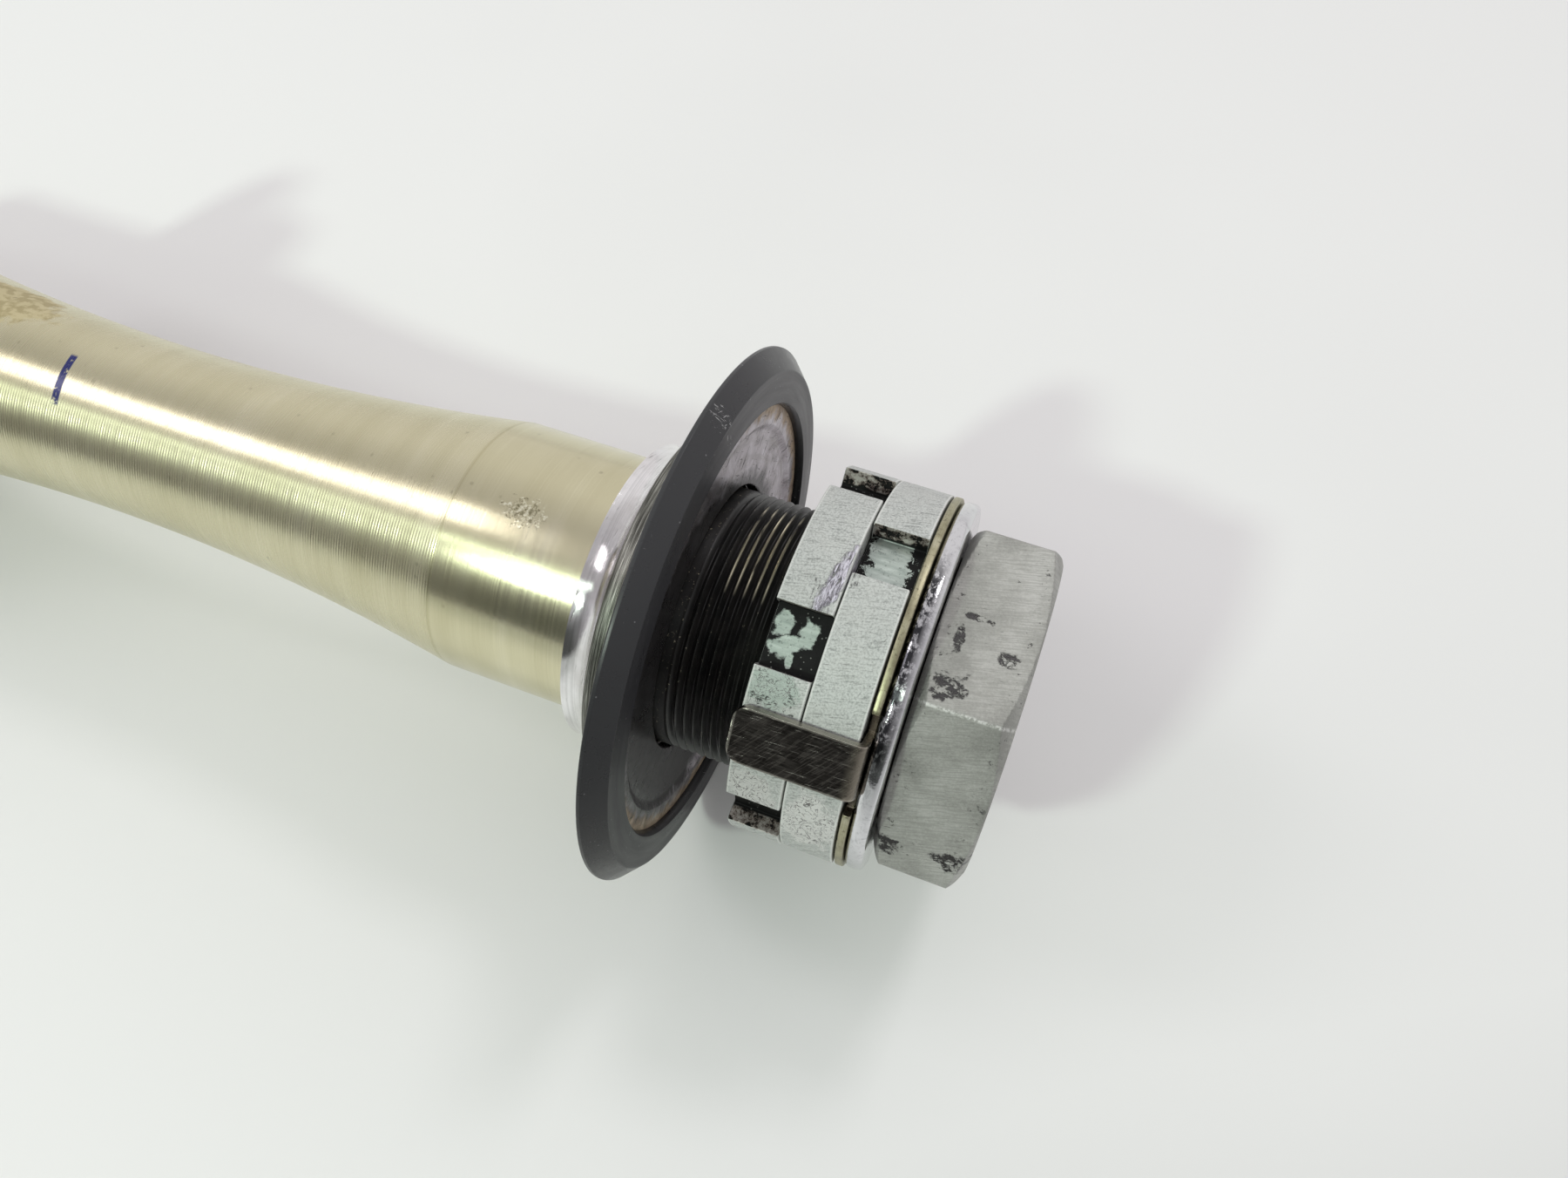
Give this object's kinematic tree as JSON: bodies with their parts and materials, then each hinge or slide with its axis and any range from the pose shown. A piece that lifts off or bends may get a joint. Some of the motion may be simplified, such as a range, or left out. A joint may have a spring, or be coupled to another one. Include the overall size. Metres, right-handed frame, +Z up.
{
  "type": "steering stem",
  "caption": "Steering stem: waisted hollow tube with ball races, rubber-lipped dust covers, slotted ring nuts, claw lock washer, plain washer and hexagon stem nut.",
  "frame": {"origin": "on the axis, at the shoulder that rests on the crown", "axes": "+X along the stem's axis towards the stem nut, +Z up with the stem lying on its two covers"},
  "size_m": [0.2195, 0.0616, 0.0616],
  "materials": {
    "stem_aluminium": "satin champagne anodised, turned",
    "race_steel": "ground, with a polished ball track",
    "ball_steel": "polished",
    "cage_steel": "pressed, oiled",
    "seal_rubber": "satin black",
    "insert_steel": "stained and scratched",
    "ring_nut_alloy": "grainy satin, black in the slots",
    "lock_washer_zinc": "yellow zinc, worn dark on the claws",
    "washer_chrome": "bright plated",
    "nut_steel": "matte grey plated, scuffed"
  },
  "bodies": {
    "stem": {"stem_tube": "stem_aluminium", "upper_inner_race": "race_steel", "lower_inner_race": "race_steel", "lower_seal_insert": "insert_steel", "lower_seal_rubber": "seal_rubber"},
    "lower_bearing": {"lower_balls": "ball_steel", "lower_ball_cage": "cage_steel"},
    "dust_cover": {"dust_cover_insert": "insert_steel", "dust_cover_rubber": "seal_rubber"},
    "rubber_washer": {"rubber_washer": "seal_rubber"},
    "lower_ring_nut": {"lower_ring_nut": "ring_nut_alloy"},
    "upper_ring_nut": {"upper_ring_nut": "ring_nut_alloy"},
    "lock_washer": {"lock_washer": "lock_washer_zinc"},
    "plain_washer": {"plain_washer": "washer_chrome"},
    "stem_nut": {"stem_nut": "nut_steel"}
  },
  "joints": [
    {"name": "lower_bearing_turn", "type": "hinge", "parent": "stem", "child": "lower_bearing", "pos_m": [0.0122, 0, 0], "axis": [1, 0, 0], "continuous": true},
    {"name": "dust_cover_turn", "type": "hinge", "parent": "stem", "child": "dust_cover", "pos_m": [0.148, 0, 0], "axis": [1, 0, 0], "continuous": true},
    {"name": "rubber_washer_slide", "type": "slide", "parent": "stem", "child": "rubber_washer", "axis": [1, 0, 0], "range_m": [-0.00801, 0]},
    {"name": "lower_nut_spin", "type": "hinge", "parent": "rubber_washer", "child": "lower_ring_nut", "pos_m": [0.1617, 0, 0], "axis": [1, 0, 0], "range_deg": [-2880, 0]},
    {"name": "upper_nut_spin", "type": "hinge", "parent": "stem", "child": "upper_ring_nut", "pos_m": [0.1676, 0, 0], "axis": [1, 0, 0], "range_deg": [-60, 60]},
    {"name": "lock_washer_turn", "type": "hinge", "parent": "stem", "child": "lock_washer", "pos_m": [0.1711, 0, 0], "axis": [1, 0, 0], "continuous": true},
    {"name": "plain_washer_slide", "type": "slide", "parent": "stem", "child": "plain_washer", "axis": [1, 0, 0], "range_m": [0, 0.00601]},
    {"name": "stem_nut_spin", "type": "hinge", "parent": "plain_washer", "child": "stem_nut", "pos_m": [0.1787, 0, 0], "axis": [1, 0, 0], "range_deg": [0, 2160]}
  ],
  "couplings": [
    {"joint": "rubber_washer_slide", "follows": "lower_nut_spin", "m_per_rad": 0.00015915},
    {"joint": "plain_washer_slide", "follows": "stem_nut_spin", "m_per_rad": 0.00015915}
  ]
}
